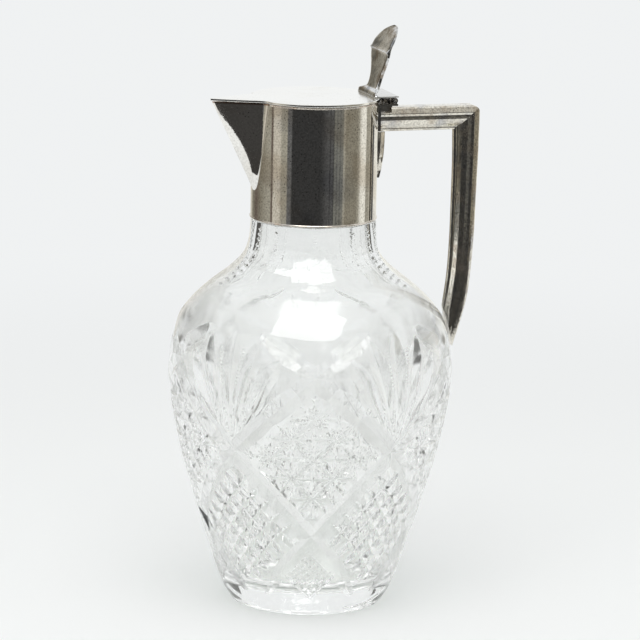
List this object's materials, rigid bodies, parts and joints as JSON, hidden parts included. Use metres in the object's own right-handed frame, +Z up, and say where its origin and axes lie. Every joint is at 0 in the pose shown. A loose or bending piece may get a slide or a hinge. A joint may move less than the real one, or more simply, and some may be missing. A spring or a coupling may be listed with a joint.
{
  "type": "lidded cut-glass wine jug",
  "caption": "Cut-glass wine jug with a plated metal collar, beak spout, hinged lid with thumbpiece and angular handle.",
  "frame": {"origin": "centre of the flat foot, on the plane that the jug stands on and on the glass body's axis", "axes": "+Z up along the glass body's axis, +X towards the handle, -X towards the spout, the hinge pin along Y"},
  "size_m": [0.1371, 0.1244, 0.2552],
  "materials": {
    "cut_glass": "clear lead crystal, polished, with bright mitre cuts",
    "silver_plate": "polished silver plate with light tarnish and pitting",
    "worn_plate": "plate worn through to warm copper on thin edges",
    "cast_plate": "cast and plated, mottled, dark in the grooves",
    "pin_metal": "dull drawn wire",
    "plaster": "matt white plaster"
  },
  "bodies": {
    "jug": {"glass_body": "cut_glass", "neck_cement": "plaster", "collar": "silver_plate", "collar_rim_wire": "worn_plate", "collar_foot_wire": "worn_plate", "spout": "silver_plate", "hinge_bracket": "cast_plate", "bracket_knuckle_1": "cast_plate", "bracket_knuckle_2": "cast_plate", "bracket_knuckle_3": "cast_plate", "hinge_pin": "pin_metal", "handle_arm": "cast_plate", "handle_grip": "cast_plate", "handle_drop": "cast_plate"},
    "lid": {"lid_plate": "silver_plate", "lid_bezel": "silver_plate", "lid_hinge_leaf": "silver_plate", "lid_knuckle_1": "cast_plate", "lid_knuckle_2": "cast_plate", "thumbpiece": "cast_plate"}
  },
  "joints": [
    {"name": "lid_hinge", "type": "hinge", "parent": "jug", "child": "lid", "pos_m": [0.0329, 0, 0.22355], "axis": [0, 1, 0], "range_deg": [0, 88]}
  ]
}
